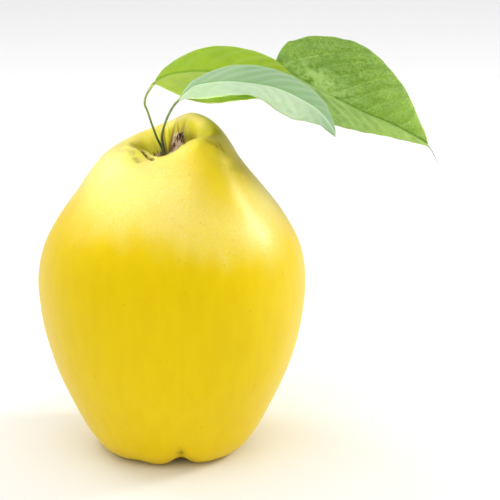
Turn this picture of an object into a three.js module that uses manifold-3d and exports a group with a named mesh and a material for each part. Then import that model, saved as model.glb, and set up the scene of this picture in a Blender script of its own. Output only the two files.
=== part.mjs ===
// A ripe quince as picked, standing on the lobes of its own base. It is a pear-shaped yellow
// fruit with a deep stalk cavity at the top, a brown stub of twig in the cavity, three leaves
// on thin green stalks that grow beside the stub, and the dried calyx in a basin underneath.
// Millimetres, +Z up. The front of the fruit, where its base is notched, faces -Y.
import * as THREE from "three";
import { mergeVertices } from "three/addons/utils/BufferGeometryUtils.js";
import Module from "manifold-3d";

const wasm = await Module();
wasm.setup();

const DEGREE = Math.PI / 180;

// The origin lies on the table under the middle of the whole outline, leaves included.
// The fruit's own upright axis stands here from that origin.
const FRUIT_AXIS = new THREE.Vector3(-22, 0, 0);

// FRUIT

const AROUND = 64; // faces round the fruit
const CAVITY_CENTRE = new THREE.Vector2(-1.5, -0.5); // from the fruit's axis

// The crest of the cavity's rim, as [angle, radius, height]. Angles run from +X (right) towards
// +Y (back). A fleshy knob stands at the back right, and the rim dips at the front left.
const RIM = [
  [-95, 8.8, 100.6],
  [-74, 8.8, 101.9],
  [-46, 9.4, 104.4],
  [-25, 12.4, 105.8],
  [-8, 14.8, 105],
  [6, 15.5, 106],
  [20, 14.2, 109],
  [42, 12.6, 110.2],
  [62, 12, 109.2],
  [85, 11.4, 107.2],
  [110, 11, 105.3],
  [135, 11.6, 103.6],
  [162, 12.6, 102],
  [185, 12.6, 101.4],
  [205, 10, 101.9],
  [222, 8.8, 100.9],
  [242, 8.6, 99.6],
];

// Inside the cavity: radius, height at the floor, and the share of the rim's radius and the drop
// below the rim on the wall.
const CAVITY_FLOOR = [
  { radius: 2.2, height: 94.3 },
  { radius: 4.9, height: 94.8 },
];
const CAVITY_WALL = [
  { share: 0.62, drop: 5.6, groove: 0.4 },
  { share: 0.82, drop: 1.7, groove: 1.6 },
];
// The valley in the wall between the knob and the front right shoulder.
const CAVITY_GROOVE = { angle: -3, width: 15 };

// The body below the rim, from the shoulder down to the foot and up into the basin.
// ribs is how deep the grooves between the lobes cut in, and lift how far they raise the skin.
const BODY = [
  { radius: 23.4, height: 96.2, ribs: 0.55, lift: 0 },
  { radius: 29.6, height: 87.8, ribs: 0.45, lift: 0 },
  { radius: 36.4, height: 78.8, ribs: 0.3, lift: 0 },
  { radius: 41.2, height: 70, ribs: 0.12, lift: 0 },
  { radius: 43.4, height: 61, ribs: 0, lift: 0 },
  { radius: 43.5, height: 51.5, ribs: 0, lift: 0 },
  { radius: 42, height: 40, ribs: 0.1, lift: 0 },
  { radius: 39, height: 29, ribs: 0.25, lift: 0 },
  { radius: 34.6, height: 18.6, ribs: 0.5, lift: 0 },
  { radius: 30.6, height: 9.6, ribs: 0.9, lift: 0.1 },
  { radius: 26.8, height: 3, ribs: 1.4, lift: 0.8 },
  { radius: 19.2, height: -0.9, ribs: 0.5, lift: 3.2 },
  { radius: 13.6, height: 1.5, ribs: 0.3, lift: 2.4 },
  { radius: 10, height: 5.8, ribs: 0.7, lift: 0.8 },
  { radius: 6, height: 9.2, ribs: 0.2, lift: 0 },
  { radius: 2.4, height: 9.9, ribs: 0, lift: 0 },
];

// The grooves between the lobes, as [angle, strength, width]. The deep one at the front is the
// notch in the base.
const GROOVES = [
  [-83, 1.25, 8],
  [-117, 0.3, 8],
  [-14, 0.7, 14],
  [58, 0.8, 13],
  [130, 0.75, 14],
  [199, 0.7, 13],
];

// Rows of faces in each step between two neighbouring rings, from the cavity's middle to the
// basin's middle.
const ROWS = [1, 1, 2, 3, 3, 3, 3, 2, 2, 2, 2, 2, 2, 2, 2, 2, 2, 4, 3, 2, 1, 1, 1];

function turnBetween(angle, other) {
  const turn = (((angle - other) % 360) + 540) % 360;
  return turn - 180;
}

function swell(angle, centre, width) {
  return Math.exp(-((turnBetween(angle, centre) / width) ** 2));
}

// The rim's radius and height at an angle, on one smooth closed curve through its points.
const rimCurve = new THREE.CatmullRomCurve3(
  RIM.map(([angle, radius, height]) => new THREE.Vector3(angle, radius, height)).concat(
    RIM.slice(0, 1).map(([angle, radius, height]) => new THREE.Vector3(angle + 360, radius, height)),
  ),
  false,
  "catmullrom",
);

function rimAt(angle) {
  const wanted = RIM[0][0] + ((((angle - RIM[0][0]) % 360) + 360) % 360);
  let low = 0;
  let high = 1;
  for (let step = 0; step < 30; step++) {
    const middle = (low + high) / 2;
    if (rimCurve.getPoint(middle).x < wanted) low = middle;
    else high = middle;
  }
  const { y: radius, z: height } = rimCurve.getPoint(low);
  return { radius, height };
}

function ribAt(angle) {
  return GROOVES.reduce((sum, [centre, strength, width]) => {
    return sum + strength * swell(angle, centre, width);
  }, 0);
}

// One line of skin from the middle of the cavity, over the rim and down to the middle of the
// basin, at one angle.
function skinLine(angle) {
  const outward = new THREE.Vector2(Math.cos(angle * DEGREE), Math.sin(angle * DEGREE));
  const rim = rimAt(angle);
  const rib = ribAt(angle);
  const groove = swell(angle, CAVITY_GROOVE.angle, CAVITY_GROOVE.width);
  const place = (radius, height, centreShare) => {
    const x = outward.x * radius + CAVITY_CENTRE.x * centreShare;
    const y = outward.y * radius + CAVITY_CENTRE.y * centreShare;
    return new THREE.Vector3(x, y, height);
  };
  const points = [place(0, CAVITY_FLOOR[0].height - 0.2, 1)];
  for (const ring of CAVITY_FLOOR) points.push(place(ring.radius, ring.height, 1));
  for (const ring of CAVITY_WALL) {
    points.push(place(rim.radius * ring.share, rim.height - ring.drop - ring.groove * groove, 1));
  }
  points.push(place(rim.radius, rim.height, 1));
  const outerRadius = rim.radius + (BODY[0].radius - rim.radius) * 0.5;
  points.push(place(outerRadius, rim.height - (rim.height - BODY[0].height) * 0.28, 0.8));
  BODY.forEach((ring, index) => {
    const centreShare = index === 0 ? 0.3 : 0;
    const radius = ring.radius - ring.ribs * rib;
    points.push(place(radius, ring.height + ring.lift * rib, centreShare));
  });
  points.push(place(0, BODY.at(-1).height + 0.1, 0));
  return new THREE.CatmullRomCurve3(points, false, "centripetal");
}

function fruitGeometry() {
  const heights = [];
  ROWS.forEach((rows, step) => {
    for (let row = 0; row < rows; row++) heights.push((step + row / rows) / ROWS.length);
  });
  heights.shift(); // the middle of the cavity is one point
  const positions = [];
  const lines = Array.from({ length: AROUND }, (_, column) => skinLine((column * 360) / AROUND));
  for (const height of heights) {
    for (const line of lines) {
      const { x, y, z } = line.getPoint(height);
      positions.push(x, y, Math.max(z, 0)); // the lobes stand flat on the table
    }
  }
  const top = positions.length / 3;
  positions.push(...lines[0].getPoint(0).toArray());
  positions.push(...lines[0].getPoint(1).toArray());
  const at = (row, column) => row * AROUND + (column % AROUND);
  const faces = [];
  for (let column = 0; column < AROUND; column++) {
    faces.push(top, at(0, column), at(0, column + 1));
    faces.push(top + 1, at(heights.length - 1, column + 1), at(heights.length - 1, column));
    for (let row = 0; row < heights.length - 1; row++) {
      faces.push(at(row, column), at(row + 1, column), at(row, column + 1));
      faces.push(at(row + 1, column), at(row + 1, column + 1), at(row, column + 1));
    }
  }
  return surface(positions, faces);
}

function surface(positions, faces) {
  const geometry = new THREE.BufferGeometry();
  geometry.setAttribute("position", new THREE.Float32BufferAttribute(positions, 3));
  geometry.setIndex(faces);
  geometry.computeVertexNormals();
  return geometry;
}

// LEAVES

// Across the blade, from the near margin to the far one, as shares of the half width.
const ACROSS = [-1, -0.68, -0.36, -0.1, 0, 0.1, 0.36, 0.68, 1];
const BLADE_HALF_THICKNESS = 0.34;
const STALK_STEPS = 11;
const BLADE_STEPS = 22;
const TIP_STEPS = 3; // the thread that the back leaf's tip is drawn out to

// Each half of a blade has its widths at these shares of the blade's length.
const SHARES = [0, 0.05, 0.1, 0.2, 0.3, 0.4, 0.5, 0.6, 0.7, 0.8, 0.9, 0.95, 1];

// Each leaf: its route from the root of its stalk along its midrib to its tip, the points of it
// where the blade starts and ends, and for the far and the near half of the blade the widths, and
// the tilts in degrees at equal shares of the length. The far half rises by its tilt, and the
// near half hangs by it.
const LEAVES = {
  leaf_left: {
    colour: 0x97b324,
    route: [
      [-4.1, -1.6, 95.1],
      [-3.7, -1.9, 101.9],
      [-4.7, -1.5, 105.4],
      [-6.4, -1, 109.2],
      [-7.8, 0, 112.2],
      [-8.7, 1, 114.6],
      [-8.2, 2, 117],
      [-6.9, 3, 119.4],
      [-5.6, 4, 121.1],
      [-3.1, 5, 122.4],
      [-0.3, 6, 123.3],
      [5.8, 8, 123.8],
      [10.6, 9, 123.6],
      [17, 10, 122.7],
      [23.5, 10.5, 121.6],
      [29.9, 10, 120.1],
      [36.4, 9, 118.2],
      [42.8, 8, 115.6],
    ],
    bladeFrom: 8,
    bladeTo: 17,
    stalkRadius: 0.65,
    ribRadius: 0.45,
    far: {
      widths: [0, 2, 4, 7.8, 11.2, 13.8, 15.4, 15.5, 14, 10.7, 6, 3.2, 0],
      tilts: [23.5],
    },
    near: {
      widths: [0, 6, 9.5, 12.6, 14.2, 15.2, 15.5, 15.2, 13.6, 10.5, 6, 3.2, 0],
      tilts: [38, 34, 25, 16, 12, 12],
    },
    wave: 0.5,
  },
  leaf_front: {
    colour: 0x9cc68c,
    route: [
      [-1.9, -3.3, 95.1],
      [-2.7, -3, 101.5],
      [-2.2, -3.5, 105.9],
      [-0.6, -4.5, 111.7],
      [2.3, -6, 117.4],
      [6.5, -7, 122],
      [11.6, -8, 123.6],
      [17.2, -9, 124.4],
      [22.9, -10, 124.3],
      [28.8, -11, 123.7],
      [34.2, -12, 122.6],
      [40.1, -13, 120.1],
      [46.4, -14, 116.2],
      [50.1, -14.5, 111.8],
      [51.9, -15, 108.1],
    ],
    bladeFrom: 4,
    bladeTo: 14,
    stalkRadius: 0.62,
    ribRadius: 0.5,
    far: {
      widths: [0, 1.4, 3.5, 9.2, 12.6, 14.1, 14.4, 14, 12.7, 10.2, 7, 4.6, 0],
      tilts: [10.5],
    },
    near: {
      widths: [0, 3, 6, 9.8, 12.7, 14.4, 14.3, 14.3, 13, 9.8, 5.6, 3.8, 0],
      tilts: [16, 16, 14, 7, 2.5, 3, 11, 18, 21, 18, 12],
    },
    wave: 0.4,
  },
  leaf_back: {
    colour: 0x79a53c,
    route: [
      [-1.8, 3, 95.1],
      [-2.9, 3.2, 102.6],
      [-1.6, 5, 109.4],
      [1.2, 8, 113.6],
      [8.7, 12, 117],
      [16.9, 16, 119.4],
      [25.1, 20, 121.4],
      [33, 24, 122.4],
      [39.6, 25, 118.9],
      [47.6, 25, 114.1],
      [56.5, 24, 109.6],
      [63.8, 23, 106.1],
      [70.4, 22, 103.6],
      [76.9, 20, 100.7],
      [83.8, 18, 96.8],
      [85.8, 17.6, 93.9],
      [87.4, 17.3, 90.6],
    ],
    bladeFrom: 7,
    bladeTo: 14,
    stalkRadius: 0.62,
    ribRadius: 0.55,
    far: {
      widths: [0, 10.5, 15, 20.5, 22.8, 23.4, 22.6, 20.5, 16.6, 10.8, 5.4, 3, 0],
      tilts: [50],
    },
    near: {
      widths: [0, 9.5, 14.5, 20.5, 22.4, 22.2, 20, 16, 12.8, 10, 6, 3.4, 0],
      tilts: [10],
    },
    wave: 0.5,
  },
};

// The value at a share t of the way along a list, whose items stand at the given shares.
function between(values, shares, t) {
  if (values.length === 1) return values[0];
  const found = shares.findIndex((share) => share > t);
  if (found < 0) return values.at(-1);
  const index = Math.max(0, found - 1);
  const at = (item) => values[Math.min(Math.max(item, 0), values.length - 1)];
  const place = (t - shares[index]) / (shares[index + 1] - shares[index]);
  const line = new THREE.SplineCurve([
    new THREE.Vector2(index - 1, at(index - 1)),
    new THREE.Vector2(index, at(index)),
    new THREE.Vector2(index + 1, at(index + 1)),
    new THREE.Vector2(index + 2, at(index + 2)),
  ]);
  return line.getPoint((1 + place) / 3).y;
}

// The half width and the tilt of one half of a blade at a share t of its length.
function halfBlade({ widths, tilts }, t) {
  const width = Math.max(0, between(widths, SHARES, t));
  const equal = tilts.map((_, index) => index / Math.max(1, tilts.length - 1));
  return { width, tilt: between(tilts, equal, t) * DEGREE };
}

// A thin blade or a round stalk as one closed skin over a row of cross sections. Each section has
// its points above and below, from the near margin to the far one.
function loftSections(sections) {
  const across = sections[0].above.length;
  const positions = [];
  for (const { above, below } of sections) {
    for (const point of [...above, ...below]) positions.push(point.x, point.y, point.z);
  }
  const above = (section, k) => section * across * 2 + k;
  const below = (section, k) => section * across * 2 + across + k;
  const faces = [];
  const last = sections.length - 1;
  for (let k = 0; k < across - 1; k++) {
    for (let s = 0; s < last; s++) {
      faces.push(above(s, k), above(s + 1, k), above(s, k + 1));
      faces.push(above(s + 1, k), above(s + 1, k + 1), above(s, k + 1));
      faces.push(below(s, k), below(s, k + 1), below(s + 1, k));
      faces.push(below(s + 1, k), below(s, k + 1), below(s + 1, k + 1));
    }
    faces.push(above(0, k), above(0, k + 1), below(0, k + 1));
    faces.push(above(0, k), below(0, k + 1), below(0, k));
    faces.push(above(last, k), below(last, k + 1), above(last, k + 1));
    faces.push(above(last, k), below(last, k), below(last, k + 1));
  }
  const far = across - 1;
  for (let s = 0; s < last; s++) {
    faces.push(above(s, 0), below(s, 0), below(s + 1, 0));
    faces.push(above(s, 0), below(s + 1, 0), above(s + 1, 0));
    faces.push(above(s, far), below(s + 1, far), below(s, far));
    faces.push(above(s, far), above(s + 1, far), below(s + 1, far));
  }
  return surface(positions, faces);
}

// The directions at a place on a curve: along it, towards the far side, and up out of the blade.
function directionsAt(curve, u, farHint) {
  const along = curve.getTangentAt(u);
  const far = farHint.clone().addScaledVector(along, -farHint.dot(along)).normalize();
  return { along, far, up: new THREE.Vector3().crossVectors(along, far) };
}

function leafGeometry(leaf) {
  const curve = new THREE.CatmullRomCurve3(
    leaf.route.map((point) => new THREE.Vector3(...point)),
    false,
    "centripetal",
  );
  curve.arcLengthDivisions = 20 * (leaf.route.length - 1);
  const lengths = curve.getLengths();
  const bladeStart = lengths[20 * leaf.bladeFrom] / lengths.at(-1);
  const bladeEnd = lengths[20 * leaf.bladeTo] / lengths.at(-1);
  const stations = [];
  for (let step = 0; step < STALK_STEPS; step++) {
    stations.push({ u: (bladeStart * step) / STALK_STEPS, stalk: 1 - step / STALK_STEPS, t: 0 });
  }
  for (let step = 0; step <= BLADE_STEPS; step++) {
    const t = step / BLADE_STEPS;
    stations.push({ u: bladeStart + (bladeEnd - bladeStart) * t, stalk: 0, t });
  }
  for (let step = 1; step <= TIP_STEPS && bladeEnd < 1; step++) {
    stations.push({ u: bladeEnd + ((1 - bladeEnd) * step) / TIP_STEPS, stalk: 0, t: 1 });
  }
  const sections = [];
  for (const { u, stalk, t } of stations) {
    const onStalk = stalk > 0;
    const { far, up } = directionsAt(curve, u, new THREE.Vector3(0, 1, 0));
    const stalkRadius = leaf.ribRadius + (leaf.stalkRadius - leaf.ribRadius) * stalk;
    const ribRadius = onStalk ? stalkRadius : leaf.ribRadius * (1 - 0.45 * t);
    const centre = curve.getPointAt(u);
    const section = { above: [], below: [] };
    for (const share of ACROSS) {
      const side = share < 0 ? -1 : 1;
      const half = halfBlade(share < 0 ? leaf.near : leaf.far, t);
      const tilt = onStalk || share === 0 ? 0 : half.tilt;
      const width = onStalk ? ribRadius : Math.max(ribRadius, half.width);
      const reach = Math.abs(share) * width;
      const lie = far.clone().multiplyScalar(Math.cos(tilt)).addScaledVector(up, Math.sin(tilt));
      const normal = up.clone().multiplyScalar(Math.cos(tilt)).addScaledVector(far, -Math.sin(tilt));
      const wave = onStalk ? 0 : leaf.wave * share ** 2 * Math.sin(t * 17 + side);
      const rib = Math.sqrt(Math.max(0, ribRadius ** 2 - reach ** 2));
      const point = centre.clone().addScaledVector(lie, side * reach).addScaledVector(normal, wave);
      const rise = onStalk ? Math.max(rib, 0.2) : Math.max(BLADE_HALF_THICKNESS, 0.7 * rib);
      const drop = onStalk ? Math.max(rib, 0.2) : Math.max(BLADE_HALF_THICKNESS, 1.2 * rib);
      section.above.push(point.clone().addScaledVector(normal, rise));
      section.below.push(point.clone().addScaledVector(normal, -drop));
    }
    sections.push(section);
  }
  return loftSections(sections);
}

// STALK STUB

// The brown stub of twig leans to the back right, and its torn top is uneven.
const STUB_FOOT = new THREE.Vector3(0.6, -0.1, 95.2);
const STUB_TOP = new THREE.Vector3(2.9, 1.4, 105);
const STUB_RADII = [2.5, 2.1, 1.75, 1.6, 1.6, 1.75, 1.95, 1.8];
const STUB_SIDES = 14;

function stubGeometry() {
  const lean = STUB_TOP.clone().sub(STUB_FOOT);
  const across = new THREE.Vector3(1, 0, 0).addScaledVector(lean, -lean.x / lean.lengthSq());
  across.normalize();
  const other = new THREE.Vector3().crossVectors(lean, across).normalize();
  const last = STUB_RADII.length - 1;
  const positions = [];
  STUB_RADII.forEach((radius, row) => {
    for (let side = 0; side < STUB_SIDES; side++) {
      const angle = (side / STUB_SIDES) * 2 * Math.PI;
      const bark = 1 + 0.09 * Math.sin(angle * 4 + row * 0.7);
      const torn = row === last ? 0.9 * Math.sin(angle * 3 + 1) + 0.5 * Math.sin(angle * 5) : 0;
      const point = STUB_FOOT.clone().addScaledVector(lean, row / last);
      point.addScaledVector(across, radius * bark * Math.cos(angle));
      point.addScaledVector(other, radius * bark * Math.sin(angle));
      point.addScaledVector(lean, torn / lean.length());
      if (row === 0) point.z = STUB_FOOT.z;
      positions.push(...point.toArray());
    }
  });
  const foot = positions.length / 3;
  positions.push(...STUB_FOOT.toArray());
  positions.push(...STUB_TOP.clone().addScaledVector(lean, -1.1 / lean.length()).toArray());
  const at = (row, side) => row * STUB_SIDES + (side % STUB_SIDES);
  const faces = [];
  for (let side = 0; side < STUB_SIDES; side++) {
    faces.push(foot, at(0, side + 1), at(0, side));
    faces.push(foot + 1, at(last, side), at(last, side + 1));
    for (let row = 0; row < last; row++) {
      faces.push(at(row, side), at(row, side + 1), at(row + 1, side));
      faces.push(at(row, side + 1), at(row + 1, side + 1), at(row + 1, side));
    }
  }
  return surface(positions, faces);
}

// CALYX

// The dried calyx is a small cup that opens downwards, with five curled sepals at its lip and a
// tuft of dried stamens in it.
const CUP = { top: 9.3, shoulder: 8.5, lip: 5.6, outer: 4.6, inner: 3.3, floor: 7.6 };
const SEPALS = 5;
const SEPAL = { from: 3.9, length: 6.2, halfWidth: 1.9, steps: 5, tipHeight: 2 };
const STAMENS = { count: 5, ring: 1.6, radius: 0.45, tip: 4.2 };

function solidOf(geometry) {
  const bare = geometry.index ? geometry.toNonIndexed() : geometry.clone();
  bare.deleteAttribute("normal");
  bare.deleteAttribute("uv");
  const merged = mergeVertices(bare, 1e-4);
  return new wasm.Manifold(
    new wasm.Mesh({
      numProp: 3,
      vertProperties: merged.attributes.position.array,
      triVerts: new Uint32Array(merged.index.array),
    }),
  );
}

function geometryOf(solid) {
  const mesh = solid.getMesh();
  return surface(Array.from(mesh.vertProperties), Array.from(mesh.triVerts));
}

function cupGeometry() {
  const profile = [
    [0, CUP.floor],
    [CUP.inner * 0.8, CUP.floor - 0.1],
    [CUP.inner, CUP.lip + 0.5],
    [CUP.inner + 0.3, CUP.lip],
    [CUP.outer - 0.2, CUP.lip + 0.3],
    [CUP.outer, (CUP.lip + CUP.shoulder) / 2],
    [CUP.outer - 0.5, CUP.shoulder],
    [0, CUP.top],
  ].map(([radius, height]) => new THREE.Vector2(radius, height));
  return new THREE.LatheGeometry(profile, 15).rotateX(Math.PI / 2);
}

function sepalGeometry(index) {
  const sections = [];
  const turn = (index / SEPALS) * 2 * Math.PI + 0.3;
  const outward = new THREE.Vector3(Math.cos(turn), Math.sin(turn), 0);
  const sideways = new THREE.Vector3(-Math.sin(turn), Math.cos(turn), 0);
  const curl = 1 + 0.12 * Math.sin(index * 2.4);
  for (let step = 0; step <= SEPAL.steps; step++) {
    const t = step / SEPAL.steps;
    const bend = t * 1.9 * curl;
    const reach = SEPAL.from + (SEPAL.length * Math.sin(bend)) / 1.9;
    const height = CUP.lip + 0.7 - (SEPAL.length * (1 - Math.cos(bend))) / 2.6;
    const halfWidth = 0.25 + SEPAL.halfWidth * Math.sin(Math.PI * (0.25 + 0.75 * t)) ** 1.2;
    const normal = outward.clone().multiplyScalar(Math.sin(bend));
    normal.z = Math.cos(bend);
    const section = { above: [], below: [] };
    for (const share of [-1, 0, 1]) {
      const point = outward.clone().multiplyScalar(reach);
      point.addScaledVector(sideways, share * halfWidth);
      point.z = Math.max(height, SEPAL.tipHeight);
      point.addScaledVector(normal, -0.5 * share ** 2);
      section.above.push(point.clone().addScaledVector(normal, 0.33));
      section.below.push(point.clone().addScaledVector(normal, -0.33));
    }
    sections.push(section);
  }
  return loftSections(sections);
}

function stamenGeometry(index) {
  const turn = (index / STAMENS.count) * 2 * Math.PI;
  const length = CUP.floor + 0.6 - STAMENS.tip;
  const stamen = new THREE.CylinderGeometry(STAMENS.radius, STAMENS.radius * 0.7, length, 4, 1);
  stamen.rotateX(Math.PI / 2);
  stamen.rotateY(0.16 * Math.sin(index * 2.1));
  return stamen.translate(
    STAMENS.ring * Math.cos(turn),
    STAMENS.ring * Math.sin(turn),
    STAMENS.tip + length / 2,
  );
}

function calyxGeometry() {
  let calyx = solidOf(cupGeometry());
  for (let index = 0; index < SEPALS; index++) calyx = calyx.add(solidOf(sepalGeometry(index)));
  for (let index = 0; index < STAMENS.count; index++) {
    calyx = calyx.add(solidOf(stamenGeometry(index)));
  }
  return geometryOf(calyx);
}

// ASSEMBLY

const quince = new THREE.Group();
quince.position.copy(FRUIT_AXIS);

function addPiece(name, geometry, colour, roughness) {
  const material = new THREE.MeshStandardMaterial({ color: colour, roughness, metalness: 0 });
  const mesh = new THREE.Mesh(geometry, material);
  mesh.name = name;
  quince.add(mesh);
}

addPiece("fruit", fruitGeometry(), 0xe8c60c, 0.45);
addPiece("stalk", stubGeometry(), 0x5a4630, 0.9);
for (const [name, leaf] of Object.entries(LEAVES)) {
  addPiece(name, leafGeometry(leaf), leaf.colour, 0.5);
}
addPiece("calyx", calyxGeometry(), 0x4f3a24, 0.9);

const part = new THREE.Group();
part.add(quince);

export default part;
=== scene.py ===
import math

import bpy
import numpy as np
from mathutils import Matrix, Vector, noise


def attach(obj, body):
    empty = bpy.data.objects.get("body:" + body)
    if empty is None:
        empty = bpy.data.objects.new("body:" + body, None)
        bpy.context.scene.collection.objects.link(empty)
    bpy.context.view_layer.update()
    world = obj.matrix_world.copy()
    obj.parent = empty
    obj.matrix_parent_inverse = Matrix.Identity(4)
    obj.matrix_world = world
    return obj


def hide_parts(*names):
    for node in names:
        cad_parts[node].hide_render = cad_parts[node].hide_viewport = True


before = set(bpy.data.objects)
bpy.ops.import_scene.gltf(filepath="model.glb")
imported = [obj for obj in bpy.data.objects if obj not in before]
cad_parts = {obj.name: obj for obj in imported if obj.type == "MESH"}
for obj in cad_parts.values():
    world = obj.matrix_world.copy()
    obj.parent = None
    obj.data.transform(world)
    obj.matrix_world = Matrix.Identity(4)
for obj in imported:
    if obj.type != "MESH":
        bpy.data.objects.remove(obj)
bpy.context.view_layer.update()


# FRUIT
# The fruit grew as one body of firm flesh under a thin skin, whose down has been rubbed off.
# It is lemon yellow on the shoulder, golden lower down, and still green round the stalk's
# cavity. The shoulder's pale is partly painted light from above, and painted light and
# painted shade lie round the cavity. It stands on the lobes of its base.
MM = 0.001
FRUIT_AXIS = np.array((-22.0, 0.0, 0.0))  # millimetres, from the row's origin
# The places and sizes of the pieces are in millimetres, counted from the foot of this axis.
CAVITY_CENTRE = (-1.5, -0.5)
CAVITY_FACES_ABOVE = 98.5  # the skin above this height and within this radius has finer faces
CAVITY_FACES_WITHIN = 14
LUMPS = ((24, 0.34), (9, 0.11), (3.2, 0.04))  # size and height of the skin's unevenness
SKIN_DROP = 0.05  # keeps the lumps inside the solid's outline
KNOB_SIDE = 48  # degrees round the cavity
KNOB_WIDTH = 48
KNOB_RISE = 1.2
CRACK_DEPTH = 1.4
LIP_RISE = 0.75
SCAR_DEPTH = 0.12
FIBRE_DEPTH = 0.2
WALL_FOLDS = 17
WALL_FOLD_RISE = 0.12
PUCKERS = 10  # folds round the calyx
PUCKER_RISE = 0.3
NOTCH_DEPTH = 0.5
# Lines across the top, seen from above: the crack on the left of the cavity, whose slit is
# painted dark as shade, the raised lip of skin beside it, a fold behind them, painted olive as
# shade, and small scars. The notch runs up under the front.
CRACK = ((-10.4, -4.4), (-9.2, -5.7), (-8.0, -7.3), (-6.9, -9.1), (-5.6, -11.0))
LIP = ((-14.6, -1.8), (-11.4, -2.6), (-9.4, -3.9), (-7.6, -5.9), (-6.2, -8.0), (-4.9, -10.2))
CREASE = ((-12.8, 2.6), (-9.8, 4.2), (-7.0, 3.6), (-5.2, 1.6))
SCARS = (
    ((12.0, -7.0), (14.3, -7.6)),
    ((15.0, -5.6), (16.4, -7.2)),
    ((-13.1, -6.0), (-12.2, -7.6)),
    ((-11.3, -10.3), (-10.1, -12.2)),
)
NOTCH = ((1.9, -17.5, 3.4), (2.6, -23.0, 4.0), (2.9, -26.9, 6.2), (2.9, -29.0, 9.0))
# Degrees round the cavity, counted from +X: its fibres, and its rim with the rim's radii.
FIBRE_ANGLES = (41, 45, 49, 53, 57, 60, 64, 67, 71, 75, 78, 82, 86, 90, 94, 99, 104, 110)
RIM_ANGLES = (-180, -118, -95, -46, -25, -8, 6, 20, 42, 85, 135, 180)
RIM_RADII = (12.6, 8.6, 8.8, 9.4, 12.4, 14.8, 15.5, 14.2, 12.6, 11.4, 11.6, 12.6)
GOLDEN = (0.88, 0.635, 0.001, 1)
DEEP_GOLDEN = (0.85, 0.605, 0.001, 1)
# LEMON_PAINTED_LIGHT is paler than the skin's own yellow: partly painted light from above on the
# shoulder.
LEMON_PAINTED_LIGHT = (0.95, 0.8, 0.2, 1)
PALE_FLECK = (0.98, 0.93, 0.48, 1)
# Pale yellow painted on the knob's crest as light, where the leaves shade it.
CREST_PAINTED_LIGHT = (0.98, 0.8, 0.22, 1)
GREEN_YELLOW = (0.76, 0.72, 0.02, 1)
# OLIVE_SHADE_AND_PORES is painted shade round the cavity, and the colour of the pores.
OLIVE_SHADE_AND_PORES = (0.44, 0.35, 0.002, 1)
FIBRE = (0.22, 0.12, 0.03, 1)
# RUSSET_AND_SHADE is dry skin, and painted shade in the crack's slit and the notch.
RUSSET_AND_SHADE = (0.12, 0.055, 0.018, 1)
SKIN_ROUGHNESS = 0.42
RUSSET_ROUGHNESS = 0.85
PORE_CELLS = 330.0  # in a metre
# The sockets of Blender's Mix node that belong to colours.
MIX_SHARE, MIX_FIRST, MIX_SECOND, MIX_RESULT = 0, 6, 7, 2


def select_only(piece):
    bpy.ops.object.select_all(action="DESELECT")
    piece.select_set(True)
    bpy.context.view_layer.objects.active = piece


def copy_of_solid(node, name):
    """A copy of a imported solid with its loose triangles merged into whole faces."""
    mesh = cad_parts[node].data.copy()
    piece = bpy.data.objects.new(name, mesh)
    bpy.context.scene.collection.objects.link(piece)
    mesh.materials.clear()
    select_only(piece)
    bpy.ops.object.mode_set(mode="EDIT")
    bpy.ops.mesh.select_all(action="SELECT")
    bpy.ops.mesh.remove_doubles(threshold=0.01 * MM)
    bpy.ops.mesh.tris_convert_to_quads(face_threshold=1.2, shape_threshold=1.2)
    bpy.ops.object.mode_set(mode="OBJECT")
    if mesh.has_custom_normals:
        bpy.ops.mesh.customdata_custom_splitnormals_clear()
    return piece


def apply_modifier(piece, kind, **settings):
    select_only(piece)
    modifier = piece.modifiers.new(kind.lower(), kind)
    for setting, value in settings.items():
        setattr(modifier, setting, value)
    bpy.ops.object.modifier_apply(modifier=modifier.name)


def vectors(items, field):
    values = np.empty(len(items) * 3, np.float32)
    items.foreach_get(field, values)
    return values.reshape(-1, 3).astype(float)


def places(piece):
    """The vertices in millimetres, counted from the foot of the fruit's axis."""
    return vectors(piece.data.vertices, "co") / MM - FRUIT_AXIS


def place_at(piece, points):
    moved = (points + FRUIT_AXIS) * MM
    piece.data.vertices.foreach_set("co", moved.astype(np.float32).ravel())
    piece.data.update()


def swell(value, centre, width):
    """1 at the centre, about a third one width away from it, and soon 0 beyond."""
    return np.exp(-(((value - centre) / width) ** 2))


def ramp(value, low, high):
    """A smooth climb from 0 at the low value to 1 at the high one."""
    share = np.clip((value - low) / (high - low), 0, 1)
    return share * share * (3 - 2 * share)


def turn(angle, centre):
    """The angle in degrees counted from a centre, from -180 to 180."""
    return (angle - centre + 180) % 360 - 180


def unevenness(points, size, seed=0.0):
    """Smooth noise from -1 to 1, with lumps of about the given size."""
    shift = Vector((seed, seed * 0.7, -seed))
    return np.array([noise.noise(Vector(point) / size + shift) for point in points])


def away_from(points, line):
    """Each point's distance from a line through the given places, in millimetres."""
    nearest = np.full(len(points), 1e9)
    for start, end in zip(line[:-1], line[1:]):
        start = np.array(start)
        along = np.array(end) - start
        share = np.clip((points - start) @ along / (along @ along), 0, 1)
        offset = points - start - share[:, None] * along
        nearest = np.minimum(nearest, np.linalg.norm(offset, axis=1))
    return nearest


def keep_share(piece, name, values):
    """Keeps a value for each vertex, which the materials read by its name."""
    attribute = piece.data.attributes.new(name, "FLOAT", "POINT")
    attribute.data.foreach_set("value", np.asarray(values, np.float32))


def add_node(material, kind, inputs=None, **settings):
    """A node with its settings, its inputs given as values or as the sockets that feed them."""
    node = material.node_tree.nodes.new(kind)
    for setting, value in settings.items():
        setattr(node, setting, value)
    for name, value in (inputs or {}).items():
        if isinstance(value, bpy.types.NodeSocket):
            material.node_tree.links.new(value, node.inputs[name])
        else:
            node.inputs[name].default_value = value
    return node


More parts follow.
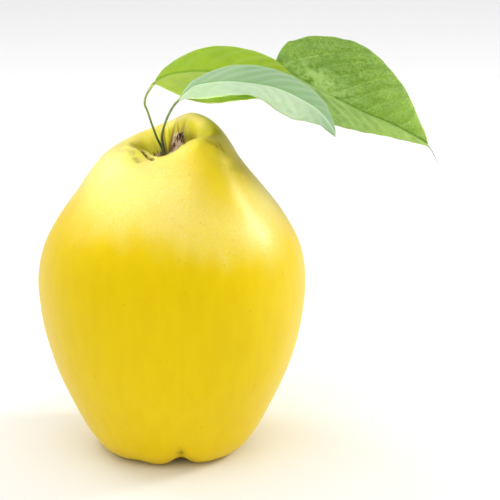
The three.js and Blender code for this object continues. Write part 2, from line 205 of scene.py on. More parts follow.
def new_finish(name, **shader_values):
    """A material and its shader. The names of sockets have _ for each space."""
    material = bpy.data.materials.new(name)
    material.use_nodes = True
    shader = material.node_tree.nodes["Principled BSDF"]
    for socket, value in shader_values.items():
        shader.inputs[socket.replace("_", " ")].default_value = value
    return material, shader


def share_of(material, name):
    return add_node(material, "ShaderNodeAttribute", attribute_name=name).outputs["Fac"]


def grain(material, scale, low, high, detail=2.0, squeeze=(1, 1, 1)):
    """Noise on the object's own coordinates, spread from 0 to 1 between two of its levels."""
    coordinates = add_node(material, "ShaderNodeTexCoord").outputs["Object"]
    squeezed = add_node(material, "ShaderNodeMapping", {"Vector": coordinates, "Scale": squeeze})
    pattern = add_node(
        material,
        "ShaderNodeTexNoise",
        {"Vector": squeezed.outputs["Vector"], "Scale": scale, "Detail": detail},
    )
    spread = add_node(
        material,
        "ShaderNodeMapRange",
        {"Value": pattern.outputs["Fac"], "From Min": low, "From Max": high},
        interpolation_type="SMOOTHSTEP",
    )
    return spread.outputs["Result"]


def fade(material, value, start, end, first=0.0, last=1.0):
    """Goes from the first number to the last while the value goes from start to end."""
    node = add_node(
        material,
        "ShaderNodeMapRange",
        {"Value": value, "From Min": start, "From Max": end, "To Min": first, "To Max": last},
    )
    return node.outputs["Result"]


def calculate(material, operation, first, second=0.0, clamp=False):
    node = add_node(material, "ShaderNodeMath", {0: first, 1: second}, operation=operation)
    node.use_clamp = clamp
    return node.outputs[0]


def blend_colour(material, share, first, second):
    """The first colour where the share is 0, and the second where it is 1."""
    colours = {MIX_SHARE: share, MIX_FIRST: first, MIX_SECOND: second}
    node = add_node(material, "ShaderNodeMix", colours, data_type="RGBA")
    return node.outputs[MIX_RESULT]


def relief(material, height, strength, depth, invert=False):
    """A bump from a height of 0 to 1, as deep as the given millimetres."""
    heights = {"Height": height, "Strength": strength, "Distance": depth * MM}
    return add_node(material, "ShaderNodeBump", heights, invert=invert).outputs["Normal"]


def feed(material, shader, **sources):
    """Links each source to the shader's socket of that name."""
    for socket, source in sources.items():
        material.node_tree.links.new(source, shader.inputs[socket.replace("_", " ")])


def put_on(piece, node, material):
    """Gives a piece its material and slot, hangs it on the root, and hides the solid it replaces.
    """
    piece.data.materials.clear()
    piece.data.materials.append(material)
    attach(piece, "root")
    if node:
        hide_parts(node)


fruit = copy_of_solid("fruit", "fruit_skin")
apply_modifier(fruit, "SUBSURF", levels=2, render_levels=2)
crown = places(fruit)
crown_radius = np.hypot(crown[:, 0] - CAVITY_CENTRE[0], crown[:, 1] - CAVITY_CENTRE[1])
near_cavity = (crown[:, 2] > CAVITY_FACES_ABOVE) & (crown_radius < CAVITY_FACES_WITHIN)
crown_faces = [all(near_cavity[corner] for corner in face.vertices) for face in fruit.data.polygons]
select_only(fruit)
bpy.ops.object.mode_set(mode="EDIT")
bpy.ops.mesh.select_mode(type="FACE")
bpy.ops.mesh.select_all(action="DESELECT")
bpy.ops.object.mode_set(mode="OBJECT")
fruit.data.polygons.foreach_set("select", crown_faces)
bpy.ops.object.mode_set(mode="EDIT")
bpy.ops.mesh.subdivide(number_cuts=1, smoothness=0)
bpy.ops.object.mode_set(mode="OBJECT")
skin = places(fruit)
outward = vectors(fruit.data.vertex_normals, "vector")
around = np.degrees(np.arctan2(skin[:, 1], skin[:, 0]))
across = np.hypot(skin[:, 0], skin[:, 1])
height = skin[:, 2]
cavity_x = skin[:, 0] - CAVITY_CENTRE[0]
cavity_y = skin[:, 1] - CAVITY_CENTRE[1]
cavity_angle = np.degrees(np.arctan2(cavity_y, cavity_x))
cavity_radius = np.hypot(cavity_x, cavity_y)
top = ramp(height, 90, 96)

lift = np.full(len(skin), -SKIN_DROP)
for number, (size, rise) in enumerate(LUMPS):
    lift += rise * unevenness(skin, size, number * 7.3)
from_above = skin[:, :2]
below_top = 99 * (1 - top)  # keeps the marks that are laid out from above off the lower skin
rim_share = cavity_radius / np.interp(cavity_angle, RIM_ANGLES, RIM_RADII)
knob = swell(turn(cavity_angle, KNOB_SIDE), 0, KNOB_WIDTH) * top
lift += KNOB_RISE * knob * swell(rim_share, 0.82, 0.13)
crack_gap = away_from(from_above, CRACK) + below_top
lip_gap = away_from(from_above, LIP) + below_top
lift -= CRACK_DEPTH * swell(crack_gap, 0, 0.5)
lift += LIP_RISE * swell(lip_gap, 0, 1.1)
scar_gap = np.min([away_from(from_above, scar) for scar in SCARS], axis=0) + below_top
lift -= SCAR_DEPTH * swell(scar_gap, 0, 1.0)
fibres = np.zeros(len(skin))
for number, angle in enumerate(FIBRE_ANGLES):
    sway = 3.5 * np.sin(cavity_radius * 0.8 + number)
    gap = np.radians(turn(cavity_angle, angle + sway)) * cavity_radius
    reach = 9.4 + 1.6 * math.sin(number * 2.3)
    fading = 1 - ramp(cavity_radius, reach - 3.5, reach)
    strength = 0.7 + 0.3 * math.cos(number * 5)
    fibres += swell(gap, 0, 0.32) * ramp(cavity_radius, 3.2, 5) * fading * strength
fibres *= top
lift -= FIBRE_DEPTH * fibres
wall_folds = np.sin(np.radians(cavity_angle) * WALL_FOLDS) * swell(cavity_radius, 6.5, 2.2)
lift += WALL_FOLD_RISE * wall_folds * top
basin = (1 - ramp(height, 8.5, 11)) * (1 - ramp(across, 11, 15))
pucker = np.cos(np.radians(around) * PUCKERS + 0.6 * np.sin(np.radians(around) * 3))
lift += PUCKER_RISE * pucker * basin * ramp(across, 3, 7)
notch_gap = away_from(skin, NOTCH)
lift -= NOTCH_DEPTH * swell(notch_gap, 0, 1.1)
foot = ramp(height, 0.15, 2.5)
place_at(fruit, skin + outward * (lift * foot)[:, None])
select_only(fruit)
bpy.ops.object.shade_smooth()

# How much of each colour the skin has at each vertex, from 0 to 1. Each place is given by its
# angle round the fruit or the cavity, its height, and its distance from the cavity's centre.
patches = unevenness(skin, 16, 3.1)
streaks = unevenness(skin * np.array((1, 1, 0.35)), 5, 9.4)
# Golden patches on the front right of the shoulder hold the lemon yellow back. The one along
# the ridge below the knob is painted shade, which also adds olive.
golden_side = swell(turn(around, -50), 0, 27) * swell(height, 95, 12) * ramp(cavity_radius, 10, 15)
golden_brow = swell(turn(cavity_angle, -20), 0, 38) * swell(cavity_radius, 17, 7) * top
ridge_painted_shade = swell(turn(around, -15), 0, 24) * swell(height, 96.5, 6.5)
# The lemon share is partly painted light: paler on top, where the light from above falls, and
# reaching lower on the front right, round the highlight.
left_drop = 4 * swell(turn(around, 175), 0, 60) - 9 * swell(turn(around, -32), 0, 34)
lemon_painted_light = ramp(height - left_drop + 4 * patches + 3 * streaks, 72, 94) * (1 - 0.92 * golden_side)
lemon_painted_light *= (1 - 0.8 * golden_brow) * (1 - 0.9 * ridge_painted_shade)
# The knob's pale crest is painted light, where the leaves shade it. The olive band across it
# and the olive in the hollow beside it are painted shade.
band = top * swell(turn(cavity_angle, 6), 0, 13) * swell(rim_share, 0.92, 0.36)
crest_painted_light = knob * ramp(rim_share, 0.74, 0.84) * (1 - ramp(cavity_radius, 19, 24))
crest_painted_light *= 1 - 0.9 * band
hollow = top * swell(turn(cavity_angle, 22), 0, 50) * swell(rim_share, 0.6, 0.17)
crease_gap = away_from(from_above, CREASE) + below_top
# The olive share is painted shade over the skin's olive tint: under the crest on the right
# shoulder, along the ridge, in the knob's hollow and band, and along the crease.
olive_and_shade = 0.58 * swell(turn(around, -24), 0, 17) * swell(cavity_radius, 19, 8) * top
olive_and_shade += 0.42 * ridge_painted_shade + 0.85 * hollow + 0.75 * band + 0.6 * swell(crease_gap, 0, 1.0)
# The cavity is green, except on the knob's upper wall and crest, which are painted pale as
# light, and on the lip, whose paleness is a painted highlight.
inside_cavity = top * (1 - ramp(cavity_radius, 8, 12.5))
green = np.clip(0.85 * inside_cavity + 0.55 * top * swell(cavity_radius, 12, 5), 0, 1)
green *= np.clip(0.75 + 0.8 * patches + 0.5 * streaks, 0.2, 1)
green *= 1 - 0.95 * swell(turn(cavity_angle, 60), 0, 72) * ramp(rim_share, 0.72, 0.86)
# The lip is left pale as a painted highlight.
green *= 1 - 0.8 * swell(lip_gap, 0, 0.9)
# Dry russet skin lies in the scars, on the front rim and the cavity's floor, and round the
# calyx. The same russet is painted shade in the crack's slit, and partly painted shade in the
# notch.
front_rim = top * swell(turn(cavity_angle, -84), 0, 24) * swell(cavity_radius, 8.3, 0.8)
floor_of_cavity = top * (1 - ramp(cavity_radius, 3.6, 5.4)) * (1 - ramp(height, 96, 98.5))
russet_and_shade = np.clip(
    # painted shade in the crack's slit
    1.3 * swell(crack_gap, 0, 0.5)
    + 0.35 * swell(scar_gap, 0, 0.9) * (0.7 + streaks)
    + 0.6 * front_rim * (0.4 + 2 * unevenness(skin, 1.1, 5.0))
    + 0.9 * floor_of_cavity
    + 0.55 * basin * (0.6 + 0.4 * pucker)
    # partly painted shade, low in the notch under the front
    + 0.6 * swell(notch_gap, 0, 1.2) * (1 - ramp(height, 5, 9)),
    0,
    1,
)
# The knob's wall towards the cavity gets a brown wash, partly its fibres and partly painted shade.
wall_fibres_and_shade = top * swell(turn(cavity_angle, 66), 0, 26) * swell(rim_share, 0.6, 0.2)
keep_share(fruit, "lemon_painted_light", np.clip(lemon_painted_light, 0, 1))
keep_share(fruit, "olive_and_shade", np.clip(olive_and_shade, 0, 1))
keep_share(fruit, "green", green)
keep_share(fruit, "russet_and_shade", russet_and_shade)
keep_share(fruit, "fibre_and_shade", np.clip(fibres + 0.45 * wall_fibres_and_shade, 0, 1))
keep_share(fruit, "pale", crest_painted_light)

skin_finish, skin_shader = new_finish(
    "quince_skin",
    Specular_IOR_Level=0.35,
    Specular_Tint=(1, 0.78, 0.12, 1),
    Coat_Roughness=0.26,
    Subsurface_Weight=0.1,
    Subsurface_Radius=(0.004, 0.002, 0.0006),
    Subsurface_Scale=0.5,
    Sheen_Weight=0.02,
    Sheen_Roughness=0.4,
    Sheen_Tint=(1, 0.95, 0.7, 1),
)
streaky = grain(skin_finish, 260, 0.3, 0.7, 4, (1, 1, 0.28))
colour = blend_colour(skin_finish, streaky, GOLDEN, DEEP_GOLDEN)
downy = grain(skin_finish, 1300, 0.4, 0.68, 3, (1, 1, 0.4))
downy = calculate(skin_finish, "ADD", 0.78, calculate(skin_finish, "MULTIPLY", downy, 0.22))
lemon_painted_light_share = calculate(skin_finish, "MULTIPLY", share_of(skin_finish, "lemon_painted_light"), downy)
colour = blend_colour(skin_finish, lemon_painted_light_share, colour, LEMON_PAINTED_LIGHT)
flecks = grain(skin_finish, 1700, 0.5, 0.72, 3)
flecks = calculate(skin_finish, "MULTIPLY", flecks, share_of(skin_finish, "lemon_painted_light"))
fleck_share = calculate(skin_finish, "MULTIPLY", flecks, 0.55)
colour = blend_colour(skin_finish, fleck_share, colour, PALE_FLECK)
colour = blend_colour(skin_finish, share_of(skin_finish, "green"), colour, GREEN_YELLOW)
colour = blend_colour(skin_finish, share_of(skin_finish, "pale"), colour, CREST_PAINTED_LIGHT)
cloudy = calculate(skin_finish, "MULTIPLY", grain(skin_finish, 240, 0.2, 0.6), 0.55)
cloudy = calculate(skin_finish, "ADD", 0.45, cloudy)
olive_and_shade_share = calculate(skin_finish, "MULTIPLY", share_of(skin_finish, "olive_and_shade"), cloudy)
colour = blend_colour(skin_finish, olive_and_shade_share, colour, OLIVE_SHADE_AND_PORES)
pores = add_node(
    skin_finish,
    "ShaderNodeTexVoronoi",
    {
        "Vector": add_node(skin_finish, "ShaderNodeTexCoord").outputs["Object"],
        "Scale": PORE_CELLS,
        "Randomness": 1.0,
    },
)
pore_dots = fade(skin_finish, pores.outputs["Distance"], 0.1, 0.18, 1, 0)
few_pores = calculate(skin_finish, "MULTIPLY", pore_dots, grain(skin_finish, 150, 0.52, 0.62))
pore_share = calculate(skin_finish, "MULTIPLY", few_pores, 0.2)
colour = blend_colour(skin_finish, pore_share, colour, OLIVE_SHADE_AND_PORES)
fibre_and_shade_share = calculate(skin_finish, "MULTIPLY", share_of(skin_finish, "fibre_and_shade"), 0.85)
colour = blend_colour(skin_finish, fibre_and_shade_share, colour, FIBRE)
corky = calculate(skin_finish, "ADD", 0.55, grain(skin_finish, 900, 0.3, 0.7))
russet_and_shade_share = calculate(skin_finish, "MULTIPLY", share_of(skin_finish, "russet_and_shade"), corky, True)
colour = blend_colour(skin_finish, russet_and_shade_share, colour, RUSSET_AND_SHADE)
grained = calculate(skin_finish, "MULTIPLY", grain(skin_finish, 1100, 0.2, 0.8, 3), 0.6)
pitted = calculate(skin_finish, "MULTIPLY", few_pores, -0.6)
skin_height = calculate(skin_finish, "ADD", grained, pitted)
russet_and_shade_here = share_of(skin_finish, "russet_and_shade")
waxy = calculate(skin_finish, "MULTIPLY", share_of(skin_finish, "lemon_painted_light"), 0.25)
feed(
    skin_finish,
    skin_shader,
    Base_Color=colour,
    Normal=relief(skin_finish, skin_height, 0.35, 0.12),
    Roughness=fade(skin_finish, russet_and_shade_here, 0, 1, SKIN_ROUGHNESS, RUSSET_ROUGHNESS),
    Coat_Weight=calculate(skin_finish, "ADD", waxy, 0.07),
)
put_on(fruit, "fruit", skin_finish)


# STUB OF THE TWIG
# A short stub of the twig that bore the fruit stands in the cavity. It is brittle dark wood,
# torn off at the top, with pale strands of bark hanging round it.
STUB_FOOT = Vector((0.6, -0.1, 95.1))
STUB_TOP = Vector((2.9, 1.4, 105.0))
STUB_RADII = (2.3, 2.1, 1.75, 1.55, 1.4, 1.3, 1.3, 1.4, 1.5, 1.4, 1.0, 0.4)
BARK_STRANDS = 38
STRAND_RADIUS = 0.24
STRANDS_END = 105.6  # no strand stands higher
TISSUE_SHREDS = 26  # dried tissue round the foot of the leaf stalks
SHRED_RADIUS = 0.4
TISSUE_FOOT = 95.2
DARK_BARK = (0.016, 0.007, 0.006, 1)
BROWN_BARK = (0.09, 0.045, 0.03, 1)
BROWN_STRAND = (0.2, 0.1, 0.055, 1)
PALE_STRAND = (0.68, 0.52, 0.36, 1)


def strands(name, lines, roundness):
    """Thin tapered strands in one mesh. A line is a list of places with a radius each."""
    curve = bpy.data.curves.new(name, "CURVE")
    curve.dimensions = "3D"
    curve.bevel_depth = MM
    curve.bevel_resolution = roundness
    curve.use_fill_caps = True
    for line in lines:
        spline = curve.splines.new("POLY")
        spline.points.add(len(line) - 1)
        for point, (x, y, z, radius) in zip(spline.points, line):
            place = (np.array((x, y, z)) + FRUIT_AXIS) * MM
            point.co = (*place, 1)
            point.radius = radius
    piece = bpy.data.objects.new(name, curve)
    bpy.context.scene.collection.objects.link(piece)
    select_only(piece)
    bpy.ops.object.convert(target="MESH")
    bpy.ops.object.shade_smooth()
    return piece


lean = STUB_TOP - STUB_FOOT
bpy.ops.object.select_all(action="DESELECT")
bpy.ops.mesh.primitive_circle_add(
    vertices=40,
    radius=STUB_RADII[0] * MM,
    fill_type="NGON",
    location=(np.array(STUB_FOOT) + FRUIT_AXIS) * MM,
)
stub = bpy.context.object
stub.name = "stalk_stub"
bpy.ops.object.transform_apply(location=True)
bpy.ops.object.mode_set(mode="EDIT")
bpy.ops.mesh.select_all(action="SELECT")
steps = len(STUB_RADII) - 1
for wide, narrow in zip(STUB_RADII[:-1], STUB_RADII[1:]):
    bpy.ops.mesh.extrude_region_move(TRANSFORM_OT_translate={"value": lean / steps * MM})
    bpy.ops.transform.resize(value=(narrow / wide, narrow / wide, 1))
bpy.ops.mesh.select_all(action="SELECT")
bpy.ops.mesh.normals_make_consistent(inside=False)
bpy.ops.object.mode_set(mode="OBJECT")
apply_modifier(stub, "SUBSURF", levels=1, render_levels=1)
wood = places(stub)
wood_out = vectors(stub.data.vertex_normals, "vector")
wood_height = (wood[:, 2] - STUB_FOOT.z) / lean.z
from_middle = wood - np.array(STUB_FOOT) - wood_height[:, None] * np.array(lean)
wood_angle = np.arctan2(from_middle[:, 1], from_middle[:, 0])
ridged = np.column_stack((np.cos(wood_angle) * 3, np.sin(wood_angle) * 3, wood_height * 2))
bark = 0.22 * unevenness(ridged, 0.55) + 0.1 * unevenness(wood, 0.8, 2.0)
torn = 0.35 * np.sin(wood_angle * 3 + 1) + 0.35 * np.sin(wood_angle * 7)
torn += 0.25 * np.sin(wood_angle * 11)
wood = wood + wood_out * bark[:, None]
wood[:, 2] += torn * ramp(wood_height, 0.72, 0.95)
place_at(stub, wood)
select_only(stub)
bpy.ops.object.shade_smooth()
bark_finish, bark_shader = new_finish("dry_bark", Roughness=0.9, Specular_IOR_Level=0.25)
bark_patches = grain(bark_finish, 900, 0.35, 0.7, 4)
bark_grain = grain(bark_finish, 1600, 0.3, 0.7, 4)
feed(
    bark_finish,
    bark_shader,
    Base_Color=blend_colour(bark_finish, bark_patches, DARK_BARK, BROWN_BARK),
    Normal=relief(bark_finish, bark_grain, 0.8, 0.2),
)
put_on(stub, "stalk", bark_finish)

chance = np.random.default_rng(7)
bark_lines = []
for number in range(BARK_STRANDS):
    angle = chance.uniform(95, 310)
    start = chance.uniform(0.0, 0.4)
    length = chance.uniform(0.5, 0.8)
    line = []
    for step in range(6):
        share = start + length * step / 5
        radius = 2.1 - 0.6 * share + 0.5 * (step / 5) ** 2 * chance.uniform(0.2, 1.8)
        spread = math.radians(angle + 10 * math.sin(step + number))
        middle = STUB_FOOT + lean * share
        x = middle.x + radius * math.cos(spread)
        y = middle.y + radius * math.sin(spread)
        line.append((x, y, min(middle.z, STRANDS_END), STRAND_RADIUS * (1 - 0.6 * step / 5)))
    bark_lines.append(line)
for _ in range(TISSUE_SHREDS):
    x = chance.uniform(-4.6, 0.8)
    y = chance.uniform(-4.6, 1.6)
    lean_x = chance.uniform(-1.8, 1.8)
    lean_y = chance.uniform(-0.9, 0.8)
    tip = chance.uniform(2.6, 5.0)
    line = []
    for step in range(5):
        share = step / 4
        x_here = x + lean_x * share
        y_here = y + lean_y * share**2
        line.append((x_here, y_here, TISSUE_FOOT + tip * share, SHRED_RADIUS - 0.24 * share))
    bark_lines.append(line)
bark_strands = strands("bark_strands", bark_lines, 1)
strand_finish, strand_shader = new_finish("bark_strands", Roughness=0.85)
strand_patches = grain(strand_finish, 500, 0.38, 0.58)
strand_colour = blend_colour(strand_finish, strand_patches, BROWN_STRAND, PALE_STRAND)
feed(strand_finish, strand_shader, Base_Color=strand_colour)
put_on(bark_strands, None, strand_finish)


# LEAVES
# Three leaves grow beside the stub on thin stalks. Each is a supple blade, folded along a pale
# midrib, with side veins that curve forward. The stalk runs on under the blade as its midrib.
SHARES = (0, 0.05, 0.1, 0.2, 0.3, 0.4, 0.5, 0.6, 0.7, 0.8, 0.9, 0.95, 1)  # of a blade's length
BLADE_FACES = (200, 80)  # along and across
FACES_AT_RIB = 1.15  # above 1 crowds the faces towards the midrib
BLADE_THICKNESS = 0.42
LEAST_WIDTH = 0.22  # of half a blade, at its base and tip
SWEPT_BASE = 0.3  # the share of the blade whose sides may be swept back
DIRECTION_STEP = 0.08  # of the length, over which the midrib's direction is taken
VEIN_GAP = 6.2  # between side veins, along the midrib
VEIN_LEAN = 0.62  # how far a side vein runs forward for each millimetre outwards
VEIN_CURVE = 0.022  # and how much more it does so further out
VEIN_STARTS = {"far": 0.5, "near": 0.08}  # in gaps, so that the halves' side veins alternate
COUNT_START = 40  # keeps the count of side veins above 0
FRILL = 0.07  # of the blade's edge
ROOT_SWELLING = 0.28
BLADE_SWELLING = 0.1  # of the stalk, where the blade begins
RIB_TAPER = 0.62
RIB_SINK = 0.42  # the midrib stands out under the blade
TIP_TAPER = 0.75
VEIN_CELLS = 1300.0  # cells of the finest veins in a metre
OLD_STALK = (0.016, 0.038, 0.006, 1)
STALK_GRAIN = (0.05, 0.07, 0.012, 1)


def smooth_line(points, steps=24):
    """A smooth line through all the places, and its steps from each of them to the next."""
    knots = [np.array(point, float) for point in points]
    knots = [2 * knots[0] - knots[1], *knots, 2 * knots[-1] - knots[-2]]
    line = []
    for index in range(1, len(knots) - 2):
        four = knots[index - 1 : index + 3]
        times = [0.0]
        for first, second in zip(four[:-1], four[1:]):
            times.append(times[-1] + np.linalg.norm(second - first) ** 0.5)

        def between(low, high, first, second, time):
            share = (time - times[low]) / (times[high] - times[low])
            return (1 - share) * first + share * second

        for time in np.linspace(times[1], times[2], steps, endpoint=False):
            near = between(0, 1, four[0], four[1], time)
            mid = between(1, 2, four[1], four[2], time)
            far = between(2, 3, four[2], four[3], time)
            before = between(0, 2, near, mid, time)
            after = between(1, 3, mid, far, time)
            line.append(between(1, 2, before, after, time))
    line.append(knots[-2])
    return np.array(line), steps


def spread_evenly(line, shares):
    """The places at the given shares of a line's length, its direction there, and its length."""
    lengths = np.r_[0, np.cumsum(np.linalg.norm(np.diff(line, axis=0), axis=1))]
    whole = lengths[-1]
    wanted = np.asarray(shares) * whole
    step = whole * DIRECTION_STEP

    def places_at(distances):
        return np.column_stack([np.interp(distances, lengths, line[:, axis]) for axis in range(3)])

    along = places_at(np.minimum(wanted + step, whole)) - places_at(np.maximum(wanted - step, 0))
    return places_at(wanted), along / np.linalg.norm(along, axis=1)[:, None], whole


def smooth_list(values, shares, wanted):
    """Smooth values between those listed at the given shares."""
    if len(values) == 1:
        return np.full(len(wanted), float(values[0]))
    shares = np.array(shares, float)
    values = np.array(values, float)
    slopes = np.gradient(values, shares)
    first = np.clip(np.searchsorted(shares, wanted, side="right") - 1, 0, len(shares) - 2)
    gap = shares[first + 1] - shares[first]
    passed = (wanted - shares[first]) / gap
    start = values[first] + passed * (slopes[first] * gap)
    end = values[first + 1] + (passed - 1) * (slopes[first + 1] * gap)
    eased = passed * passed * (3 - 2 * passed)
    return start * (1 - eased) + end * eased


def leaf_blade(name, leaf):
    """The blade, laid row by row along its midrib because its two halves curl differently."""
    line, steps = smooth_line(leaf["route"])
    blade_line = line[steps * leaf["blade"][0] : steps * leaf["blade"][1] + 1]
    bpy.ops.mesh.primitive_grid_add(
        x_subdivisions=BLADE_FACES[0], y_subdivisions=BLADE_FACES[1], size=1, location=(0, 0, 0)
    )
    blade = bpy.context.object
    blade.name = name
    flat = vectors(blade.data.vertices, "co")
    share = np.clip(flat[:, 0] + 0.5, 0, 1)
    side = np.clip(flat[:, 1] * 2, -1, 1)
    side = np.sign(side) * np.abs(side) ** FACES_AT_RIB
    middle, along, length = spread_evenly(blade_line, share)
    far = np.array((0.0, 1.0, 0.0)) - along * along[:, 1:2]
    far /= np.linalg.norm(far, axis=1)[:, None]
    up = np.cross(along, far)
    points = np.zeros_like(middle)
    phase = np.zeros(len(share))
    from_rib = np.zeros(len(share))
    for half, sign in (("far", 1), ("near", -1)):
        widths, tilts = leaf[half]
        mine = side >= 0 if sign == 1 else side < 0
        part = share[mine]
        width = np.maximum(smooth_list(widths, SHARES, part), LEAST_WIDTH)
        equal = np.linspace(0, 1, len(tilts))
        tilt = np.radians(smooth_list(tilts, equal, part))[:, None]
        edge = np.abs(side[mine])
        reach = edge * width
        lie = far[mine] * np.cos(tilt) + up[mine] * np.sin(tilt)
        normal = up[mine] * np.cos(tilt) - far[mine] * np.sin(tilt)
        # Each whole number of this count lies on a side vein.
        vein = part * length / VEIN_GAP - (reach * VEIN_LEAN + VEIN_CURVE * reach**2) / VEIN_GAP
        vein += VEIN_STARTS[half]
        vein += 0.06 * np.sin(part * 23 + sign)
        puckered = ramp(reach, 0.5, 3) * (1 - ramp(edge, 0.8, 1))
        rise = leaf["pucker"] * (0.5 - 0.5 * np.cos(2 * np.pi * vein)) * puckered
        rise -= leaf["pucker"] * 1.2 * swell(reach, 0, 0.55) * (1 - 0.6 * part)
        rise += leaf["belly"] * width * np.sin(np.pi * edge) * 0.06
        rise += leaf["wave"] * edge**2 * np.sin(part * 17 + sign)
        rise += FRILL * edge**3 * np.sin(part * 61 + 2 * sign)
        back = leaf["sweep"] * reach * (1 - ramp(part, 0, SWEPT_BASE))
        points[mine] = middle[mine] + lie * (sign * reach)[:, None] + normal * rise[:, None]
        points[mine] -= along[mine] * back[:, None]
        phase[mine] = vein
        from_rib[mine] = reach
    place_at(blade, points)
    keep_share(blade, "vein", phase + COUNT_START)
    keep_share(blade, "from_rib", from_rib)
    keep_share(blade, "along", share)
    keep_share(blade, "side", side)
    # A pale patch of painted sheen, where the blade reflects the sky.
    strength, centre, spread, reach_centre, reach_spread = leaf["painted_sheen"]
    painted_sheen = strength * swell(share, centre, spread)
    painted_sheen *= swell(from_rib * np.sign(side), reach_centre, reach_spread)
    keep_share(blade, "painted_sheen", painted_sheen)
    apply_modifier(blade, "SOLIDIFY", thickness=BLADE_THICKNESS * MM, offset=0)
    select_only(blade)
    bpy.ops.object.shade_smooth()
    return blade


def leaf_stalk(name, leaf):
    """The stalk and the midrib in one tapering strand, swollen at the root and at the blade."""
    line, steps = smooth_line(leaf["route"], 6)
    start = steps * leaf["blade"][0]
    end = steps * leaf["blade"][1]
    places_along = []
    for index, (x, y, z) in enumerate(line):
        if index <= start:
            share = index / start
            radius = leaf["stalk"] + (leaf["rib"] - leaf["stalk"]) * share
            radius += ROOT_SWELLING * swell(share, 0, 0.12) + BLADE_SWELLING * swell(share, 1, 0.1)
            sink = 0.0
        else:
            share = (index - start) / (end - start)
            radius = leaf["rib"] * (1 - RIB_TAPER * min(share, 1))
            sink = RIB_SINK * min(1, 6 * share) * max(0, 1 - share * 0.8) if share < 1 else 0.0
        if index > end:
            radius *= 1 - TIP_TAPER * (index - end) / max(1, len(line) - 1 - end)
        places_along.append((x, y, z - sink, radius))
    return strands(name, [places_along], 3)


def leaf_finish(name, look):
    """Leaf green with blotches, a fine speckle, pale veins, and a dark line beside the midrib."""
    finish, shader = new_finish(
        name,
        Roughness=0.5,
        Specular_IOR_Level=0.35,
        Sheen_Weight=look["sheen"],
        Sheen_Roughness=0.5,
        Specular_Tint=(0.8, 1, 0.6, 1),
        Subsurface_Weight=0.8,
        Subsurface_Radius=(0.0015, 0.002, 0.0006),
        Subsurface_Scale=1.0,
    )
    side = share_of(finish, "side")
    along = share_of(finish, "along")
    from_rib = share_of(finish, "from_rib")
    on_far_half = fade(finish, side, -0.05, 0.05)
    near_colour = blend_colour(finish, fade(finish, along, 0.3, 0.8), look["near"], look["outer"])
    colour = blend_colour(finish, on_far_half, near_colour, look["far"])
    at_tip = fade(finish, along, look["tip_from"], 0.97)
    colour = blend_colour(finish, at_tip, colour, look["tip"])
    fewer_at_tip = calculate(finish, "SUBTRACT", 1.0, calculate(finish, "MULTIPLY", at_tip, 0.65))
    blotches = calculate(finish, "MULTIPLY", grain(finish, 210, 0.4, 0.66, 4), look["mottle"])
    blotches = calculate(finish, "MULTIPLY", blotches, fewer_at_tip)
    colour = blend_colour(finish, blotches, colour, look["dark"])
    speckle = calculate(finish, "MULTIPLY", grain(finish, 1150, 0.42, 0.62, 3), look["stipple"])
    speckle = calculate(finish, "MULTIPLY", speckle, fade(finish, on_far_half, 0, 1, 0.45, 1.0))
    speckle = calculate(finish, "MULTIPLY", speckle, fewer_at_tip)
    colour = blend_colour(finish, speckle, colour, look["dark"])
    to_vein = calculate(finish, "PINGPONG", share_of(finish, "vein"), 0.5)
    side_veins = fade(finish, to_vein, 0.012, 0.05, look["clear"], 0)
    in_middle = fade(finish, calculate(finish, "ABSOLUTE", side), 0.45, 1.0, 1, 0.1)
    side_veins = calculate(finish, "MULTIPLY", side_veins, in_middle)
    midrib = fade(finish, from_rib, 0.25, 0.5, 0.9, 0)
    cells = add_node(
        finish,
        "ShaderNodeTexVoronoi",
        {
            "Vector": add_node(finish, "ShaderNodeTexCoord").outputs["Object"],
            "Scale": VEIN_CELLS,
        },
        feature="DISTANCE_TO_EDGE",
    )
    fine_veins = fade(finish, cells.outputs["Distance"], 0.02, 0.1, look["network"], 0)
    lines = calculate(finish, "MAXIMUM", side_veins, midrib)
    lines = calculate(finish, "MAXIMUM", lines, fine_veins)
    # Painted shade: a dark line beside the midrib on the far half, in the fold along the rib.
    rib_painted_shade = fade(finish, from_rib, 0.5, 1.15, 0.9, 0)
    rib_painted_shade = calculate(finish, "MULTIPLY", rib_painted_shade, on_far_half)
    colour = blend_colour(finish, rib_painted_shade, colour, look["dark"])
    # The pale patch is painted sheen, where the blade reflects the sky.
    painted_sheen = calculate(finish, "MULTIPLY", share_of(finish, "painted_sheen"), grain(finish, 500, 0.3, 0.62, 3))
    flecks = grain(finish, 1500, 0.52, 0.75, 3)
    flecks = calculate(finish, "MULTIPLY", flecks, look["stipple"] * 0.45)
    colour = blend_colour(finish, calculate(finish, "MAXIMUM", painted_sheen, flecks), colour, look["veins"])
    colour = blend_colour(finish, lines, colour, look["veins"])
    feed(finish, shader, Base_Color=colour, Normal=relief(finish, lines, 0.5, 0.1, invert=True))
    return finish


